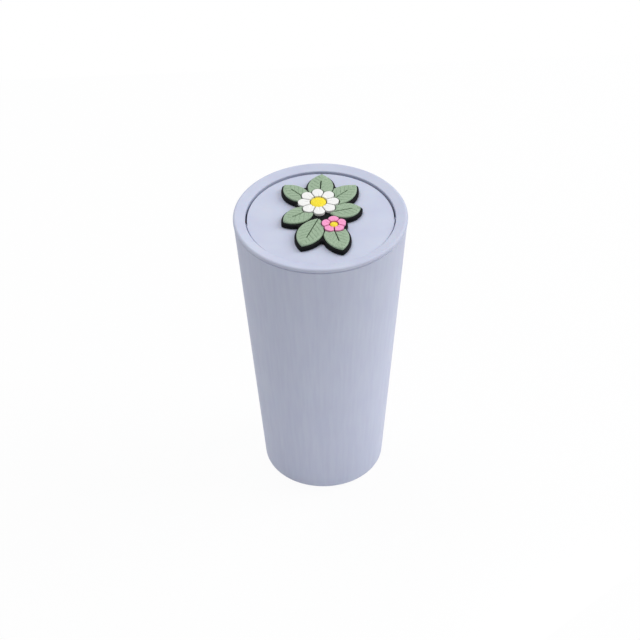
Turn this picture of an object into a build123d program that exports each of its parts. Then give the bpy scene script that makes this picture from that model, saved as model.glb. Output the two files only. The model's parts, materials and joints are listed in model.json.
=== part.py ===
from build123d import *
import os
from math import asin, atan2, cos, degrees, hypot, radians, sin

# A small car trash can: a tapered bucket, a lid ring that presses into its rim, and a round flap that
# swings on a diameter of the ring against a torsion spring. A soft moulded badge is glued on the flap.
# Origin: centre of the face that it stands on. +Z is up, and the flap's hinge axis runs along X.
# The flap's back half, +Y, is pushed down to open it. All sizes are in millimetres.

# Overall size
overall_height = 155.0
lid_radius = 42.5
base_radius = 30.0
wall = 1.8

# Bucket
floor_thickness = 2.0
recess_radius = 24.6
recess_depth = 1.6
base_corner_radius = 3.0
inside_corner_radius = 4.0
foot_rib_count = 8
foot_rib_width = 1.2
foot_rib_height = 1.0
gate_pad_radius = 4.0
rim_setback = 0.2
rim_chamfer = 0.4
shadow_gap = 0.4
shadow_gap_depth = 1.0
rim_bore_radius = 40.3
rim_seat_depth = 10.8
seat_slope = 1.0

# Lid ring
flange_thickness = 1.8
flange_edge_radius = 1.2
flange_under_chamfer = 0.2
crown_width = 1.3
dish_drop = 1.1
web_drop = 1.2
mouth_radius = 36.6
mouth_edge_radius = 0.5
collar_wall = 1.2
collar_depth = 14.0
skirt_radius = 40.0
skirt_wall = 1.2
skirt_depth = 12.0
skirt_lead_in = 0.5
grip_bead_height = 147.0
grip_bead_width = 1.6
grip_clearance = 0.06
ledge_inner_radius = 34.8
ledge_thickness = 1.4
ledge_end = 4.8
bearing_height = 4.5
bearing_length = 9.0
weld = 0.2

# Flap
flap_drop = 2.0
flap_thickness = 1.8
flap_back_radius = 35.75
flap_front_radius = 36.1
flap_front_start = 3.3
flap_edge_radius = 0.3
ledge_clearance = 0.1
axis_drop = 3.5
stub_radius = 1.6
stub_clearance = 0.05
stub_end = 38.5
snap_throat = 2.6
snap_lead_in = 2.4
hub_radius = 2.6
hub_inner_end = 31.2
hub_outer_end = 35.4
ear_depth = 6.0
ear_thickness = 2.0
ear_width = 1.9
rib_ring_radius = 23.0
rib_width = 1.2
rib_depth = 2.4

# Return spring, wound on a spigot on the right-hand hub
wire_radius = 0.3
coil_radius = 1.75
coil_pitch = 0.7
coil_turns = 3
coil_start = 27.8
coil_relief_radius = 2.45
spigot_radius = 1.3
spigot_end = 26.0
flap_leg_reach = 12.0
ring_leg_reach = 19.7

# Badge, as laid out flat: x to the right, y towards the back
glue_thickness = 0.15
glue_setback = 0.8
badge_thickness = 2.2
badge_border = 1.0
badge_inner_corner = 1.0
badge_edge_chamfer = 0.4
leaf_thickness = 1.0
petal_thickness = 1.3
centre_thickness = 1.8
colour_gap = 0.5
soft_edge = 0.3
vein_width = 0.5
vein_share = 0.72
badge_core_radius = 10.0
centre_edge_chamfer = 0.6
# Each flower: its middle, its radius, the number and width of its petals, and its centre's radius
flowers = {
    "daisy": ((-0.5, 8.5), 10.0, 8, 5.6, 3.8),
    "blossom": ((6.0, -9.5), 6.0, 5, 5.6, 1.9),
}
# Each leaf: where it starts, where its tip is, and its width
leaves = [
    ((0.0, 11.0), (2.5, 31.1), 12.5),
    ((2.5, 6.5), (18.8, 21.0), 12.0),
    ((-5.0, 10.0), (-16.5, 23.5), 10.5),
    ((4.5, 0.0), (19.8, 3.2), 11.0),
    ((-3.0, 4.0), (-18.2, -5.3), 11.5),
    ((-1.0, -4.0), (-10.3, -24.6), 12.5),
    ((4.5, -7.0), (9.0, -28.7), 12.0),
]

# Heights worked out from the sizes above
floor_top = recess_depth + floor_thickness
rim_top = overall_height - flange_thickness
rim_radius = lid_radius - rim_setback
rim_seat = rim_top - rim_seat_depth
web_underside = rim_top - web_drop
mouth_top = overall_height - dish_drop
flap_top = overall_height - flap_drop
flap_underside = flap_top - flap_thickness
hinge_height = flap_top - axis_drop
ledge_top = flap_underside - ledge_clearance
ledge_underside = ledge_top - ledge_thickness
collar_radius = mouth_radius + collar_wall
collar_bottom = overall_height - collar_depth
skirt_bottom = overall_height - skirt_depth
badge_seat = flap_top + glue_thickness
badge_top = badge_seat + badge_thickness


def outer_radius(z):
    # Radius of the bucket's outer cone at a height
    return base_radius + (rim_radius - base_radius) * z / rim_top


def corner(sketch, x, y):
    # The corner of a sketch that is nearest to a point
    return sketch.vertices().sort_by_distance(Vector(x, y))[0]


os.makedirs("parts", exist_ok=True)

# Bucket: one turned shell with a stepped rim, a rounded foot and a shallow ribbed recess below
with BuildPart() as bin_body:
    with BuildSketch(Plane.XZ) as shell:
        with BuildLine():
            Polyline(
                (0, recess_depth),
                (recess_radius, recess_depth),
                (recess_radius + recess_depth / 2, 0),
                (base_radius, 0),
                (outer_radius(rim_top - shadow_gap), rim_top - shadow_gap),
                (rim_radius - shadow_gap_depth, rim_top - shadow_gap),
                (rim_radius - shadow_gap_depth, rim_top),
                (rim_bore_radius, rim_top),
                (rim_bore_radius, rim_seat),
                (outer_radius(rim_seat) - wall, rim_seat - seat_slope),
                (outer_radius(floor_top) - wall, floor_top),
                (0, floor_top),
                close=True,
            )
        make_face()
        fillet(corner(shell, base_radius, 0), base_corner_radius)
        fillet(corner(shell, outer_radius(floor_top) - wall, floor_top), inside_corner_radius)
        chamfer(corner(shell, rim_radius, rim_top - shadow_gap), rim_chamfer)
    revolve(axis=Axis.Z)
    with BuildSketch(Plane.XY.offset(recess_depth - foot_rib_height)):
        with PolarLocations(recess_radius / 2, foot_rib_count):
            Rectangle(recess_radius + weld, foot_rib_width)
        Circle(gate_pad_radius)
    extrude(amount=foot_rib_height + weld)
bin_body.part.label = "bin_body"
export_step(bin_body.part, "parts/bin_body.step")

# Lid ring: flange, collar round the flap, plug skirt, closing ledge and the two snap bearings
with BuildPart() as lid_ring:
    with BuildSketch(Plane.XZ) as ring:
        with BuildLine():
            Polyline(
                (mouth_radius, mouth_top),
                (lid_radius - crown_width, overall_height),
                (lid_radius, overall_height),
                (lid_radius, rim_top),
                (skirt_radius, rim_top),
                (skirt_radius, skirt_bottom + skirt_lead_in),
                (skirt_radius - skirt_lead_in, skirt_bottom),
                (skirt_radius - skirt_wall, skirt_bottom),
                (skirt_radius - skirt_wall, web_underside),
                (collar_radius, web_underside),
                (collar_radius, collar_bottom),
                (mouth_radius, collar_bottom),
                close=True,
            )
        make_face()
        fillet(corner(ring, lid_radius, overall_height), flange_edge_radius)
        fillet(corner(ring, mouth_radius, mouth_top), mouth_edge_radius)
        chamfer(corner(ring, lid_radius, rim_top), flange_under_chamfer)
        with BuildLine():
            Polyline(
                (skirt_radius - weld, grip_bead_height + grip_bead_width / 2),
                (rim_bore_radius - grip_clearance, grip_bead_height + grip_bead_width / 6),
                (rim_bore_radius - grip_clearance, grip_bead_height - grip_bead_width / 6),
                (skirt_radius - weld, grip_bead_height - grip_bead_width / 2),
                close=True,
            )
        make_face()
    revolve(axis=Axis.Z)
    with BuildSketch(Plane.XY.offset(ledge_underside)):
        Circle(mouth_radius + weld)
        Circle(ledge_inner_radius, mode=Mode.SUBTRACT)
        with Locations((0, -ledge_end)):
            Rectangle(2 * lid_radius, lid_radius, align=(Align.CENTER, Align.MAX), mode=Mode.INTERSECT)
    extrude(amount=ledge_thickness)
    with BuildSketch(Plane.XY.offset(hinge_height - bearing_height)):
        Circle(skirt_radius - skirt_wall + weld)
        Circle(collar_radius - weld, mode=Mode.SUBTRACT)
        Rectangle(2 * lid_radius, bearing_length, mode=Mode.INTERSECT)
    extrude(amount=web_underside + weld - hinge_height + bearing_height)
    with BuildSketch(Plane.YZ):
        with Locations((0, hinge_height)):
            Circle(stub_radius + stub_clearance)
        with BuildLine():
            Polyline(
                (-snap_throat / 2, hinge_height),
                (snap_throat / 2, hinge_height),
                (snap_throat / 2, collar_bottom + snap_lead_in),
                (snap_throat, collar_bottom),
                (-snap_throat, collar_bottom),
                (-snap_throat / 2, collar_bottom + snap_lead_in),
                close=True,
            )
        make_face()
    extrude(amount=stub_end + weld, both=True, mode=Mode.SUBTRACT)
lid_ring.part.label = "lid_ring"
export_step(lid_ring.part, "parts/lid_ring.step")

# Flap: a disc with a wider front half, ribs, hubs with snap stubs and stop ears, and a spring spigot
with BuildPart() as flap_disc:
    with BuildSketch(Plane.XY.offset(flap_underside)):
        Circle(flap_front_radius)
        with Locations((0, -flap_front_start)):
            Rectangle(2 * lid_radius, lid_radius, align=(Align.CENTER, Align.MAX), mode=Mode.INTERSECT)
        Circle(flap_back_radius)
    extrude(amount=flap_thickness)
    fillet(flap_disc.faces().sort_by(Axis.Z)[-1].edges().filter_by(GeomType.CIRCLE), flap_edge_radius)
    with BuildSketch(Plane.XY.offset(flap_underside - rib_depth)):
        Circle(rib_ring_radius + rib_width / 2)
        Circle(rib_ring_radius - rib_width / 2, mode=Mode.SUBTRACT)
        Rectangle(2 * rib_ring_radius, rib_width)
        Rectangle(rib_width, 2 * rib_ring_radius)
    extrude(amount=rib_depth + weld)
    for side in (1, -1):
        hub_start = (side * hub_inner_end, 0, hinge_height)
        hub_axis = Plane(origin=hub_start, x_dir=(0, side, 0), z_dir=(side, 0, 0))
        with BuildSketch(hub_axis):
            Circle(hub_radius)
        extrude(amount=hub_outer_end - hub_inner_end)
        with BuildSketch(hub_axis):
            Circle(stub_radius)
        extrude(amount=stub_end - hub_inner_end)
        with BuildSketch(hub_axis.offset(hub_outer_end - hub_inner_end - ear_width)):
            Rectangle(ear_thickness, ear_depth, align=(Align.CENTER, Align.MAX))
        extrude(amount=ear_width)
    with BuildSketch(Plane.YZ.offset(spigot_end)):
        with Locations((0, hinge_height)):
            Circle(coil_relief_radius)
    extrude(amount=hub_inner_end - spigot_end, mode=Mode.SUBTRACT)
    with BuildSketch(Plane.YZ.offset(spigot_end)):
        with Locations((0, hinge_height)):
            Circle(spigot_radius)
    extrude(amount=hub_inner_end - spigot_end + weld)
flap_disc.part.label = "flap_disc"
export_step(flap_disc.part, "parts/flap_disc.step")


def leg_slope(reach, rise):
    # Slope of a leg that leaves the bottom of the coil and ends at a reach and a rise from its axis
    return atan2(rise, reach) + asin(coil_radius / hypot(reach, rise))


def leg_length(reach, rise):
    # Length of that leg, from where it leaves the coil
    return (reach**2 + rise**2 - coil_radius**2) ** 0.5


# Return spring: one leg presses up under the flap's back half, the other under the ring's ledge
flap_leg_rise = flap_underside - wire_radius - hinge_height
ring_leg_rise = ledge_underside - wire_radius - hinge_height
flap_slope = leg_slope(flap_leg_reach, flap_leg_rise)
ring_slope = leg_slope(ring_leg_reach, ring_leg_rise)
wound_turns = coil_turns + degrees(flap_slope + ring_slope) / 360
coil_frame = Plane(
    origin=(coil_start, 0, hinge_height),
    x_dir=(0, sin(flap_slope), -cos(flap_slope)),
    z_dir=(1, 0, 0),
)
coil_path = coil_frame.location * Helix(coil_pitch, coil_pitch * wound_turns, coil_radius, lefthand=True)
with BuildPart() as return_spring:
    with BuildSketch(Plane(origin=coil_path @ 0, z_dir=coil_path % 0)):
        Circle(wire_radius)
    sweep(path=coil_path, is_frenet=True)
    with Locations(coil_path @ 0, coil_path @ 1):
        Sphere(wire_radius * 1.04)
    with BuildSketch(Plane(origin=coil_path @ 0, z_dir=(0, cos(flap_slope), sin(flap_slope)))):
        Circle(wire_radius)
    extrude(amount=leg_length(flap_leg_reach, flap_leg_rise))
    with BuildSketch(Plane(origin=coil_path @ 1, z_dir=(0, -cos(ring_slope), sin(ring_slope)))):
        Circle(wire_radius)
    extrude(amount=leg_length(ring_leg_reach, ring_leg_rise))
return_spring.part.label = "return_spring"
export_step(return_spring.part, "parts/return_spring.step")


def leaf_face(start, tip, width):
    # A pointed oval from one point to another
    with BuildSketch(mode=Mode.PRIVATE) as face:
        with BuildLine():
            SagittaArc(start, tip, width / 2)
            SagittaArc(tip, start, width / 2)
        make_face()
    return face.sketch


def vein_face(start, tip):
    # The slot along a leaf's middle, which ends short of the tip
    run = (tip[0] - start[0], tip[1] - start[1])
    middle = (start[0] + run[0] * vein_share / 2, start[1] + run[1] * vein_share / 2, 0)
    with BuildSketch(mode=Mode.PRIVATE) as face:
        with Locations(Location(middle, (0, 0, degrees(atan2(run[1], run[0]))))):
            SlotOverall(hypot(*run) * vein_share, vein_width)
    return face.sketch


def flower_face(place, radius, petals, width, grow=0.0):
    # The whole outline of a flower with round petal ends, grown by a border
    with BuildSketch(mode=Mode.PRIVATE) as face:
        with Locations(place):
            Circle(radius - width / 2 + grow)
            with PolarLocations(radius - width / 2, petals, start_angle=90):
                Circle(width / 2 + grow)
    return face.sketch


def petal_face(radius, petals, width, centre_radius):
    # One petal pointing along X: its share of the flower, clear of its neighbours and of the centre
    half_share = radians(180 / petals)
    apex = (colour_gap / 2 / sin(half_share), 0)
    side = (2 * radius * cos(half_share), 2 * radius * sin(half_share))
    with BuildSketch(mode=Mode.PRIVATE) as face:
        Circle(radius - width / 2)
        with Locations((radius - width / 2, 0)):
            Circle(width / 2)
        with BuildLine():
            Polyline(apex, (apex[0] + side[0], side[1]), (apex[0] + side[0], -side[1]), close=True)
        make_face(mode=Mode.INTERSECT)
        Circle(centre_radius + colour_gap, mode=Mode.SUBTRACT)
    return face.sketch


# Badge: a black base with a bevelled edge, glued to the flap, and the colours that lie on it
with BuildPart() as badge_base:
    with BuildSketch(Plane.XY.offset(badge_seat)):
        Circle(badge_core_radius)
        for start, tip, width in leaves:
            add(offset(leaf_face(start, tip, width), badge_border, mode=Mode.PRIVATE))
        for place, radius, petals, width, centre_radius in flowers.values():
            add(flower_face(place, radius, petals, width, badge_border))
        offset(amount=badge_inner_corner)
        offset(amount=-badge_inner_corner)
    extrude(amount=badge_thickness)
    chamfer(badge_base.faces().sort_by(Axis.Z)[-1].edges(), badge_edge_chamfer)
badge_base.part.label = "badge_base"
export_step(badge_base.part, "parts/badge_base.step")

with BuildPart() as badge_glue:
    with BuildSketch(Plane.XY.offset(flap_top)):
        Circle(badge_core_radius)
        for place, radius, petals, width, centre_radius in flowers.values():
            add(flower_face(place, radius, petals, width))
        for start, tip, width in leaves:
            add(offset(leaf_face(start, tip, width), -glue_setback, mode=Mode.PRIVATE))
    extrude(amount=glue_thickness)
badge_glue.part.label = "badge_glue"
export_step(badge_glue.part, "parts/badge_glue.step")

# The leaves lie under the flowers: each one is cut clear of the flowers and of the leaves before it
for number, (start, tip, width) in enumerate(leaves, 1):
    with BuildPart() as badge_leaf:
        with BuildSketch(Plane.XY.offset(badge_top)):
            add(leaf_face(start, tip, width))
        extrude(amount=leaf_thickness)
        chamfer(badge_leaf.faces().sort_by(Axis.Z)[-1].edges(), soft_edge)
        with BuildSketch(Plane.XY.offset(badge_top)):
            add(vein_face(start, tip))
            for place, radius, petals, petal_width, centre_radius in flowers.values():
                add(flower_face(place, radius, petals, petal_width, colour_gap))
            for earlier in leaves[: number - 1]:
                add(offset(leaf_face(*earlier), colour_gap, mode=Mode.PRIVATE))
        extrude(amount=leaf_thickness, mode=Mode.SUBTRACT)
        add(badge_leaf.solids().sort_by(SortBy.VOLUME)[-1], mode=Mode.REPLACE)
    badge_leaf.part.label = f"badge_leaf_{number}"
    export_step(badge_leaf.part, f"parts/badge_leaf_{number}.step")

# Each flower has its petals in a ring, and a centre that stands highest
for flower, (place, radius, petals, width, centre_radius) in flowers.items():
    petal = petal_face(radius, petals, width, centre_radius)
    for number in range(petals):
        turn = Location((place[0], place[1], badge_top), (0, 0, 90 + 360 * number / petals))
        with BuildPart() as badge_petal:
            with BuildSketch(Plane(turn)):
                add(petal)
            extrude(amount=petal_thickness)
        badge_petal.part.label = f"badge_{flower}_petal_{number + 1}"
        export_step(badge_petal.part, f"parts/badge_{flower}_petal_{number + 1}.step")
    with BuildPart() as badge_centre:
        with BuildSketch(Plane.XY.offset(badge_top)):
            with Locations(place):
                Circle(centre_radius)
        extrude(amount=centre_thickness)
        chamfer(badge_centre.faces().sort_by(Axis.Z)[-1].edges(), centre_edge_chamfer)
    badge_centre.part.label = f"badge_{flower}_centre"
    export_step(badge_centre.part, f"parts/badge_{flower}_centre.step")
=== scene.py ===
import json
import math

import bmesh
import bpy
from mathutils import Matrix, Vector


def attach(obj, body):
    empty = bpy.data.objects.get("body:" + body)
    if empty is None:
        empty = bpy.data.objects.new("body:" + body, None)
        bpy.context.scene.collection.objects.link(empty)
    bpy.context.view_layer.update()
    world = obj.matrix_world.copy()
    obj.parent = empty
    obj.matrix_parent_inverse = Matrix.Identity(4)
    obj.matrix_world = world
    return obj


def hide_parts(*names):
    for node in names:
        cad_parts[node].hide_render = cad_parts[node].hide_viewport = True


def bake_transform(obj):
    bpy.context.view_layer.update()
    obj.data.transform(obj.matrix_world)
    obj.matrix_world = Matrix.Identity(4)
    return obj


mm = 0.001
mergeDistance = 0.001         # in millimetres, as the pieces are while they are shaped

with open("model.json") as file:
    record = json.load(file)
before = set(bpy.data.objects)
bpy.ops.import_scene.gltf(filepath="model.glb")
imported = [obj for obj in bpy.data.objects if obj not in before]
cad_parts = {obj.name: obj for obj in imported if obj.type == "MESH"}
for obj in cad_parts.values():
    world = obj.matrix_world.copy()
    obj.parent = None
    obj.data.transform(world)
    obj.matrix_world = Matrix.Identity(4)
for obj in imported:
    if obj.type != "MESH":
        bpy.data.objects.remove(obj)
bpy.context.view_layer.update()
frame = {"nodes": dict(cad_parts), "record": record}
print("frame loaded:", len(frame["nodes"]), "nodes")


# Colours are written as sRGB hex and turned to linear here
def linear(hexColour):
    channels = [int(hexColour[i : i + 2], 16) / 255 for i in (1, 3, 5)]
    return [c / 12.92 if c <= 0.04045 else ((c + 0.055) / 1.055) ** 2.4 for c in channels] + [1.0]


# Adds a node, sets its fields and sockets, and links its inputs
def addNode(tree, kind, fields=None, values=None, links=None):
    node = tree.nodes.new(kind)
    for name, value in (fields or {}).items():
        setattr(node, name, value)
    for name, value in (values or {}).items():
        node.inputs[name].default_value = value
    for name, source in (links or {}).items():
        tree.links.new(source, node.inputs[name])
    return node


def newMaterial(name):
    material = bpy.data.materials.new(name)
    material.use_nodes = True
    material.node_tree.nodes.clear()
    return material, material.node_tree


# Camera: on the photo's side, a long lens from about a metre and a quarter away
camera = {
    "azimuth": -2.6,
    "elevation": 40.3,
    "roll": -0.9,
    "distance": 1275 * mm,
    "lens": 143.0,
    "sensorWidth": 36,
    "clip": (0.01, 20),
    "aimHeight": 88.3 * mm,
    "aimSideways": -1.0 * mm,
}


def makeCamera():
    turn = math.radians(camera["azimuth"])
    rise = math.radians(camera["elevation"])
    level = math.cos(rise)
    back = Vector((math.sin(turn) * level, -math.cos(turn) * level, math.sin(rise)))
    right = Vector((math.cos(turn), math.sin(turn), 0))
    aim = Vector((0, 0, camera["aimHeight"])) + right * camera["aimSideways"]
    data = bpy.data.cameras.new("photoCamera")
    data.lens = camera["lens"]
    data.sensor_width = camera["sensorWidth"]
    data.clip_start, data.clip_end = camera["clip"]
    obj = bpy.data.objects.new("photoCamera", data)
    bpy.context.collection.objects.link(obj)
    obj.location = aim + back * camera["distance"]
    facing = (-back).to_track_quat("-Z", "Y").to_matrix()
    rolled = facing @ Matrix.Rotation(math.radians(camera["roll"]), 3, "Z")
    obj.rotation_euler = rolled.to_euler()
    bpy.context.scene.camera = obj


makeCamera()
print("camera placed")

# Studio: a white paper, an even white sky, two soft lamps high up, and on the right a small card
# close to the foot, half of it below the paper
studio = {
    "floorSize": 0.7,
    "floorColour": "#f0f0f2",
    "floorGlow": 0.94,
    "skyStrength": 0.5,
    "lampAim": (0, 0, 0.1),
    "lamps": {
        "keyLamp": {"place": (1.2, 0.2, 1.1), "size": 0.9, "energy": 11.2},
        "fillLamp": {"place": (-0.4, 0.5, 1.7), "size": 1.0, "energy": 10.0},
        "cardLamp": {"place": (0.115, -0.135, 0.012), "size": 0.1, "energy": 0.05},
    },
}
white = {"Color": (1, 1, 1, 1), "Strength": 1.0}


# 1 on the rays that show the background itself: straight, mirrored or through something clear
def backgroundSeen(tree):
    path = addNode(tree, "ShaderNodeLightPath")
    mirrored = addNode(tree, "ShaderNodeMath", {"operation": "MAXIMUM"},
                       links={0: path.outputs["Is Camera Ray"], 1: path.outputs["Is Glossy Ray"]})
    seen = addNode(tree, "ShaderNodeMath", {"operation": "MAXIMUM"},
                   links={0: mirrored.outputs[0], 1: path.outputs["Is Transmission Ray"]})
    return seen.outputs[0]


def makeFloor():
    material, tree = newMaterial("matt white paper")
    paper = addNode(tree, "ShaderNodeBsdfDiffuse",
                    values={"Color": linear(studio["floorColour"])})
    glow = addNode(tree, "ShaderNodeEmission", values=white)
    share = addNode(tree, "ShaderNodeMath", {"operation": "MULTIPLY"}, {1: studio["floorGlow"]},
                    {0: backgroundSeen(tree)})
    mix = addNode(tree, "ShaderNodeMixShader",
                  links={0: share.outputs[0], 1: paper.outputs[0], 2: glow.outputs[0]})
    addNode(tree, "ShaderNodeOutputMaterial", links={"Surface": mix.outputs[0]})
    bm = bmesh.new()
    bmesh.ops.create_grid(bm, x_segments=1, y_segments=1, size=studio["floorSize"] / 2)
    mesh = bpy.data.meshes.new("floor")
    bm.to_mesh(mesh)
    bm.free()
    mesh.materials.append(material)
    floor = bpy.data.objects.new("floor", mesh)
    bpy.context.collection.objects.link(floor)


def makeSky():
    world = bpy.data.worlds.new("studio")
    bpy.context.scene.world = world
    world.use_nodes = True
    tree = world.node_tree
    tree.nodes.clear()
    shown = addNode(tree, "ShaderNodeBackground", values=white)
    sky = addNode(tree, "ShaderNodeBackground",
                  values={"Color": white["Color"], "Strength": studio["skyStrength"]})
    mix = addNode(tree, "ShaderNodeMixShader",
                  links={0: backgroundSeen(tree), 1: sky.outputs[0], 2: shown.outputs[0]})
    addNode(tree, "ShaderNodeOutputWorld", links={"Surface": mix.outputs[0]})


def makeLamps():
    for name, lamp in studio["lamps"].items():
        data = bpy.data.lights.new(name, "AREA")
        data.energy = lamp["energy"]
        data.size = lamp["size"]
        obj = bpy.data.objects.new(name, data)
        bpy.context.collection.objects.link(obj)
        obj.visible_camera = False
        obj.location = lamp["place"]
        facing = Vector(studio["lampAim"]) - obj.location
        obj.rotation_euler = facing.to_track_quat("-Z", "Y").to_euler()


makeFloor()
makeSky()
makeLamps()
print("studio lit")

# Polypropylene, injection moulded in a spark-eroded mould: an even matt lavender with a fine
# grain, and on the wall faint upright streaks where the mould slid off
polypropylene = {
    "colour": "#c5cbde",
    "streakColour": "#c0c5db",
    "spread": (0.35, 0.65),
    "grain": 0.6 * mm,        # the real grain is about 0.2 mm, which would not show
    "grainDepth": 0.02 * mm,
    "grainStrength": 0.35,
    "streakWidth": 1.6 * mm,
    "streakLength": 90 * mm,
    "clouds": 14 * mm,
    "roughness": (0.5, 0.62),
    "ior": 1.49,
    "milkiness": 0.06,
    "milkDepth": 1.5 * mm,
    "wallStreaks": 0.75,
    "lidStreaks": 0.0,
}


def makePolypropylene(name, streaks):
    look = polypropylene
    material, tree = newMaterial(name)
    place = addNode(tree, "ShaderNodeTexCoord").outputs["Object"]
    stretch = (1.0, 1.0, look["streakWidth"] / look["streakLength"])
    stretched = addNode(tree, "ShaderNodeMapping", values={"Scale": stretch},
                        links={"Vector": place})
    streak = addNode(tree, "ShaderNodeTexNoise",
                     values={"Scale": 1 / look["streakWidth"], "Detail": 2.0},
                     links={"Vector": stretched.outputs[0]})
    cloud = addNode(tree, "ShaderNodeTexNoise",
                    values={"Scale": 1 / look["clouds"], "Detail": 2.0}, links={"Vector": place})
    blotch = addNode(tree, "ShaderNodeMix", {"data_type": "FLOAT"}, {0: streaks},
                     {2: cloud.outputs["Fac"], 3: streak.outputs["Fac"]})
    spread = addNode(tree, "ShaderNodeMapRange",
                     values={"From Min": look["spread"][0], "From Max": look["spread"][1]},
                     links={"Value": blotch.outputs[0]})
    colour = addNode(tree, "ShaderNodeMix", {"data_type": "RGBA"},
                     {6: linear(look["colour"]), 7: linear(look["streakColour"])},
                     {0: spread.outputs[0]})
    roughness = addNode(tree, "ShaderNodeMapRange",
                        values={"To Min": look["roughness"][0], "To Max": look["roughness"][1]},
                        links={"Value": cloud.outputs["Fac"]})
    grain = addNode(tree, "ShaderNodeTexNoise",
                    values={"Scale": 1 / look["grain"], "Detail": 1.0}, links={"Vector": place})
    bump = addNode(tree, "ShaderNodeBump",
                   values={"Strength": look["grainStrength"], "Distance": look["grainDepth"]},
                   links={"Height": grain.outputs["Fac"]})
    shader = addNode(tree, "ShaderNodeBsdfPrincipled",
                     values={"IOR": look["ior"], "Subsurface Weight": look["milkiness"],
                             "Subsurface Scale": look["milkDepth"]},
                     links={"Base Color": colour.outputs[2], "Roughness": roughness.outputs[0],
                            "Normal": bump.outputs[0]})
    addNode(tree, "ShaderNodeOutputMaterial", links={"Surface": shader.outputs[0]})
    return material


# Soft PVC, poured colour by colour: a satin skin with a faint mottle in each pour
softPvc = {
    "black": {"colour": "#07080b", "speckColour": "#0c0d11", "roughness": 0.62, "shine": 0.1},
    "green": {"colour": "#97ae93", "speckColour": "#859e83", "roughness": 0.5, "shine": 0.5},
    "white": {"colour": "#eeeeec", "speckColour": "#e8e8e8", "roughness": 0.45, "shine": 0.5},
    "pink": {"colour": "#f39ac8", "speckColour": "#ee91c2", "roughness": 0.45, "shine": 0.5},
    "yellow": {"colour": "#f5e014", "speckColour": "#edd60e", "roughness": 0.45, "shine": 0.5},
}
pvcSkin = {
    "speck": 0.7 * mm,
    "spread": (0.45, 0.65),
    "grainDepth": 0.008 * mm,
    "grainStrength": 0.3,
    "ior": 1.53,
}


def makeSoftPvc(name, look):
    material, tree = newMaterial(name)
    place = addNode(tree, "ShaderNodeTexCoord").outputs["Object"]
    speck = addNode(tree, "ShaderNodeTexNoise",
                    values={"Scale": 1 / pvcSkin["speck"], "Detail": 3.0}, links={"Vector": place})
    spread = addNode(tree, "ShaderNodeMapRange",
                     values={"From Min": pvcSkin["spread"][0], "From Max": pvcSkin["spread"][1]},
                     links={"Value": speck.outputs["Fac"]})
    colour = addNode(tree, "ShaderNodeMix", {"data_type": "RGBA"},
                     {6: linear(look["colour"]), 7: linear(look["speckColour"])},
                     {0: spread.outputs[0]})
    bump = addNode(tree, "ShaderNodeBump",
                   values={"Strength": pvcSkin["grainStrength"], "Distance": pvcSkin["grainDepth"]},
                   links={"Height": speck.outputs["Fac"]})
    shader = addNode(tree, "ShaderNodeBsdfPrincipled",
                     values={"Roughness": look["roughness"], "IOR": pvcSkin["ior"],
                             "Specular IOR Level": look["shine"]},
                     links={"Base Color": colour.outputs[2], "Normal": bump.outputs[0]})
    addNode(tree, "ShaderNodeOutputMaterial", links={"Surface": shader.outputs[0]})
    return material


# Stainless spring wire, drawn through a die: bright, with fine lines
wire = {"colour": "#c9c8c5", "roughness": (0.22, 0.34), "lines": 0.12 * mm}


def makeWire():
    material, tree = newMaterial("drawn stainless wire")
    place = addNode(tree, "ShaderNodeTexCoord").outputs["Object"]
    lines = addNode(tree, "ShaderNodeTexNoise",
                    values={"Scale": 1 / wire["lines"], "Detail": 2.0}, links={"Vector": place})
    roughness = addNode(tree, "ShaderNodeMapRange",
                        values={"To Min": wire["roughness"][0], "To Max": wire["roughness"][1]},
                        links={"Value": lines.outputs["Fac"]})
    shader = addNode(tree, "ShaderNodeBsdfPrincipled",
                     values={"Base Color": linear(wire["colour"]), "Metallic": 1.0},
                     links={"Roughness": roughness.outputs[0]})
    addNode(tree, "ShaderNodeOutputMaterial", links={"Surface": shader.outputs[0]})
    return material


# Clear double-sided film, which shows only as a dull edge under the badge
film = {"colour": "#c9cac4", "roughness": 0.35}


def makeFilm():
    material, tree = newMaterial("acrylic adhesive film")
    shader = addNode(tree, "ShaderNodeBsdfPrincipled",
                     values={"Base Color": linear(film["colour"]), "Roughness": film["roughness"]})
    addNode(tree, "ShaderNodeOutputMaterial", links={"Surface": shader.outputs[0]})
    return material


wallStreaks, lidStreaks = polypropylene["wallStreaks"], polypropylene["lidStreaks"]
materials = {
    "bucket_polypropylene": makePolypropylene("moulded polypropylene wall", wallStreaks),
    "lid_polypropylene": makePolypropylene("moulded polypropylene lid", lidStreaks),
    "spring_steel": makeWire(),
    "badge_adhesive": makeFilm(),
}
for name, look in softPvc.items():
    materials["badge_" + name] = makeSoftPvc("soft pvc " + name, look)
slotOf = {subpart["node"]: subpart["material_slot"] for subpart in frame["record"]["subparts"]}
for node, obj in frame["nodes"].items():
    for slot in obj.material_slots:
        slot.material = materials[slotOf[node]]
print("materials made:", len(materials))


# A CAD node's mesh in millimetres, with its loose triangles merged
def mergedCopy(node):
    bm = bmesh.new()
    bm.from_mesh(frame["nodes"][node].data)
    bmesh.ops.scale(bm, vec=(1 / mm, 1 / mm, 1 / mm), verts=bm.verts)
    bmesh.ops.remove_doubles(bm, verts=bm.verts, dist=mergeDistance)
    return bm


# The mesh that a helper object gives, after which the helper goes
def meshOf(helper):
    graph = bpy.context.evaluated_depsgraph_get()
    mesh = bpy.data.meshes.new_from_object(helper.evaluated_get(graph))
    bm = bmesh.new()
    bm.from_mesh(mesh)
    bpy.data.objects.remove(helper)
    bpy.data.meshes.remove(mesh)
    return bm


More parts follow.
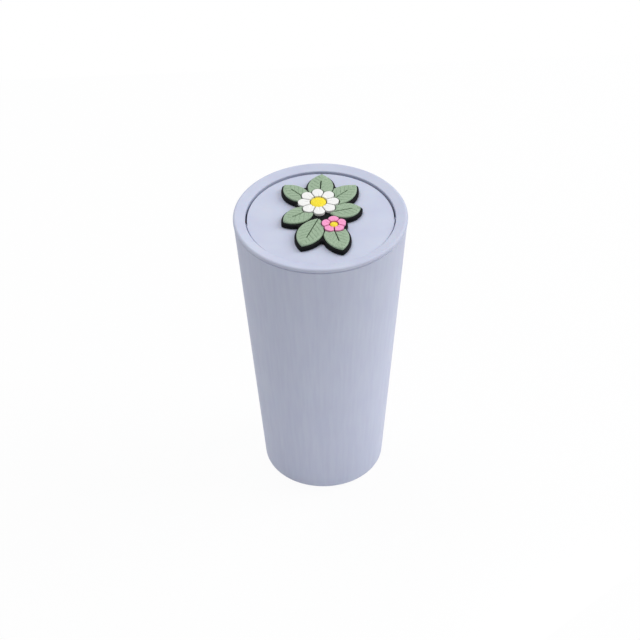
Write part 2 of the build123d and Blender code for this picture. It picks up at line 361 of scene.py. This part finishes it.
# Remeshed in even small faces and smoothed, which rounds the edges as poured PVC does
def softened(bm, faceSize, passes):
    mesh = bpy.data.meshes.new("rough")
    bm.to_mesh(mesh)
    bm.free()
    rough = bpy.data.objects.new("rough", mesh)
    bpy.context.collection.objects.link(rough)
    remesh = rough.modifiers.new("evenFaces", "REMESH")
    remesh.mode = "VOXEL"
    remesh.voxel_size = faceSize
    bm = meshOf(rough)
    bpy.data.meshes.remove(mesh)
    for _ in range(passes):
        bmesh.ops.smooth_vert(bm, verts=bm.verts, factor=0.5,
                              use_axis_x=True, use_axis_y=True, use_axis_z=True)
    return bm


# Turns a bmesh in millimetres into a finished piece that stands for one CAD node
def finishPiece(name, bm, node, body):
    bmesh.ops.scale(bm, vec=(mm, mm, mm), verts=bm.verts)
    for face in bm.faces:
        face.smooth = True
    mesh = bpy.data.meshes.new(name)
    bm.to_mesh(mesh)
    bm.free()
    mesh.materials.append(materials[slotOf[node]])
    piece = bpy.data.objects.new(name, mesh)
    bpy.context.collection.objects.link(piece)
    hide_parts(node)
    if body:
        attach(piece, body)
    return piece


# Raises the vertices near a piece's top by what lift gives at their place, in millimetres.
# The cube leaves the sides and the underside where they are
def relief(bm, lift):
    low = min(v.co.z for v in bm.verts)
    high = max(v.co.z for v in bm.verts)
    for v in bm.verts:
        share = (v.co.z - low) / (high - low)
        v.co.z += lift(v.co.x, v.co.y) * share**3


# Leaves: from the stem to the tip, across the widest part, in millimetres on the flap
leaves = {
    1: ((0.0, 11.0), (2.5, 31.1), 12.5),
    2: ((2.5, 6.5), (18.8, 21.0), 12.0),
    3: ((-5.0, 10.0), (-16.5, 23.5), 10.5),
    4: ((4.5, 0.0), (19.8, 3.2), 11.0),
    5: ((-3.0, 4.0), (-18.2, -5.3), 11.5),
    6: ((-1.0, -4.0), (-10.3, -24.6), 12.5),
    7: ((4.5, -7.0), (9.0, -28.7), 12.0),
}
leafForm = {
    "faceSize": 0.15,
    "passes": 3,
    "crown": 0.35,
    "veinDepth": 0.34,
    "veinWidth": 0.25,
    "veinSpacing": 2.7,
    "veinSlant": 0.9,
    "veinFade": 2,
    "narrowest": 0.01,
}


def makeLeaf(number, start, tip, width):
    start = Vector(start)
    run = Vector(tip) - start
    along = run.normalized()
    across = Vector((-along.y, along.x))

    def lift(x, y):
        place = Vector((x, y)) - start
        share = place.dot(along) / run.length
        off = abs(place.dot(across))
        half = max(width / 2 * (1 - (2 * share - 1) ** 2), leafForm["narrowest"])
        middle = max(1 - (off / half) ** 2, 0.0)
        phase = (place.dot(along) - off * leafForm["veinSlant"]) / leafForm["veinSpacing"]
        gap = abs(phase - round(phase)) * leafForm["veinSpacing"]
        fade = min(middle * leafForm["veinFade"], 1.0)
        vein = math.exp(-((gap / leafForm["veinWidth"]) ** 2)) * fade
        return leafForm["crown"] * middle - leafForm["veinDepth"] * vein

    node = f"badge_leaf_{number}"
    bm = softened(mergedCopy(node), leafForm["faceSize"], leafForm["passes"])
    relief(bm, lift)
    finishPiece(f"leaf{number}", bm, node, "flap")


for number, (start, tip, width) in leaves.items():
    makeLeaf(number, start, tip, width)
print("leaves made:", len(leaves))

# Flowers: the middle, the radius, the petals and the centre's radius, in millimetres on the flap
flowers = {
    "daisy": {"middle": (-0.5, 8.5), "radius": 10.0, "petals": 8, "centre": 3.8},
    "blossom": {"middle": (6.0, -9.5), "radius": 6.0, "petals": 5, "centre": 1.9},
}
petalForm = {
    "faceSize": 0.12,
    "passes": 4,
    "width": 0.8,
    "crown": 0.3,
    "creaseDepth": 0.3,
    "creaseWidth": 0.3,
    "creaseEnd": 0.72,
    "creaseFade": 8,
}
centreForm = {
    "faceSize": 0.12,
    "passes": 4,
    "dome": 0.55,
    "dotDepth": 0.1,
    "dotSpacing": 1.1,
}


def makePetal(flower, number, form):
    turn = math.radians(90 + 360 * number / form["petals"])
    along = Vector((math.cos(turn), math.sin(turn)))
    middle = Vector(form["middle"])
    half = form["radius"] * math.tan(math.pi / form["petals"]) * petalForm["width"]

    def lift(x, y):
        place = Vector((x, y)) - middle
        reach = place.dot(along) / form["radius"]
        off = place.cross(along)
        rounded = max(1 - (off / half) ** 2, 0.0)
        fade = min(max((petalForm["creaseEnd"] - reach) * petalForm["creaseFade"], 0.0), 1.0)
        crease = math.exp(-((off / petalForm["creaseWidth"]) ** 2)) * fade
        return petalForm["crown"] * rounded - petalForm["creaseDepth"] * crease

    node = f"badge_{flower}_petal_{number + 1}"
    bm = softened(mergedCopy(node), petalForm["faceSize"], petalForm["passes"])
    relief(bm, lift)
    finishPiece(f"{flower}Petal{number + 1}", bm, node, "flap")


def makeFlowerCentre(flower, form):
    middle = Vector(form["middle"])
    wave = 2 * math.pi / centreForm["dotSpacing"]

    def lift(x, y):
        place = Vector((x, y)) - middle
        dots = math.cos(place.x * wave) * math.cos(place.y * wave)
        fall = (place.length / form["centre"]) ** 2
        return centreForm["dotDepth"] * (dots - 1) - centreForm["dome"] * fall

    node = f"badge_{flower}_centre"
    bm = softened(mergedCopy(node), centreForm["faceSize"], centreForm["passes"])
    relief(bm, lift)
    finishPiece(f"{flower}Centre", bm, node, "flap")


for flower, form in flowers.items():
    for number in range(form["petals"]):
        makePetal(flower, number, form)
    makeFlowerCentre(flower, form)
print("flowers made:", len(flowers))

# The black base, with its sharp edges rounded off; angles are in degrees
baseForm = {"rounding": 0.22, "segments": 3, "sharpest": 30, "flattest": 0.5}


def makeBadgeBase():
    bm = mergedCopy("badge_base")
    bmesh.ops.dissolve_limit(bm, angle_limit=math.radians(baseForm["flattest"]),
                             verts=bm.verts, edges=bm.edges)
    sharp = [e for e in bm.edges if len(e.link_faces) == 2
             and e.calc_face_angle() > math.radians(baseForm["sharpest"])]
    bmesh.ops.bevel(bm, geom=sharp, offset=baseForm["rounding"], offset_type="OFFSET",
                    affect="EDGES", segments=baseForm["segments"], profile=0.5, material=-1,
                    clamp_overlap=True)
    bmesh.ops.triangulate(bm, faces=bm.faces)
    finishPiece("badgeBase", bm, "badge_base", "flap")


makeBadgeBase()
print("badge base made")

# Return spring: the same wire as in the frame, in one smooth tube.
# Each leg is its reach from the axis and its rise, in millimetres
spring = {
    "axisHeight": 149.5,
    "wireRadius": 0.3,
    "coilRadius": 1.75,
    "pitch": 0.7,
    "turns": 3,
    "start": 27.8,
    "flapLeg": (12.0, 1.4),
    "ringLeg": (19.7, -0.1),
    "pointsPerTurn": 24,
    "sides": 5,
}


def legSlope(reach, rise):
    return math.atan2(rise, reach) + math.asin(spring["coilRadius"] / math.hypot(reach, rise))


def legLength(reach, rise):
    return math.sqrt(reach**2 + rise**2 - spring["coilRadius"] ** 2)


def makeSpring():
    flapSlope = legSlope(*spring["flapLeg"])
    ringSlope = legSlope(*spring["ringLeg"])
    turn = 2 * math.pi * spring["turns"] + flapSlope + ringSlope
    radius = spring["coilRadius"]

    # Angles run clockwise about +X from straight down; the flap's leg leaves to +Y and the
    # ring's to -Y
    def onCoil(angle):
        down = flapSlope - angle
        return Vector((spring["start"] + spring["pitch"] * angle / (2 * math.pi),
                       radius * math.sin(down),
                       spring["axisHeight"] - radius * math.cos(down)))

    steps = round(turn / (2 * math.pi) * spring["pointsPerTurn"])
    points = [onCoil(turn * i / steps) for i in range(steps + 1)]
    toFlap = Vector((0, math.cos(flapSlope), math.sin(flapSlope)))
    toRing = Vector((0, -math.cos(ringSlope), math.sin(ringSlope)))
    flapEnd = points[0] + toFlap * legLength(*spring["flapLeg"])
    ringEnd = points[-1] + toRing * legLength(*spring["ringLeg"])
    points = [flapEnd] + points + [ringEnd]
    data = bpy.data.curves.new("springLine", "CURVE")
    data.dimensions = "3D"
    data.bevel_depth = spring["wireRadius"]
    data.bevel_resolution = spring["sides"]
    data.use_fill_caps = True
    line = data.splines.new("POLY")
    line.points.add(len(points) - 1)
    for point, place in zip(line.points, points):
        point.co = (*place, 1)
    rough = bpy.data.objects.new("springLine", data)
    bpy.context.collection.objects.link(rough)
    bm = meshOf(rough)
    bmesh.ops.remove_doubles(bm, verts=bm.verts, dist=mergeDistance)
    piece = finishPiece("returnSpring", bm, "return_spring", None)
    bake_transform(piece)


makeSpring()
print("spring wound")

bpy.context.scene.view_settings.view_transform = "Standard"
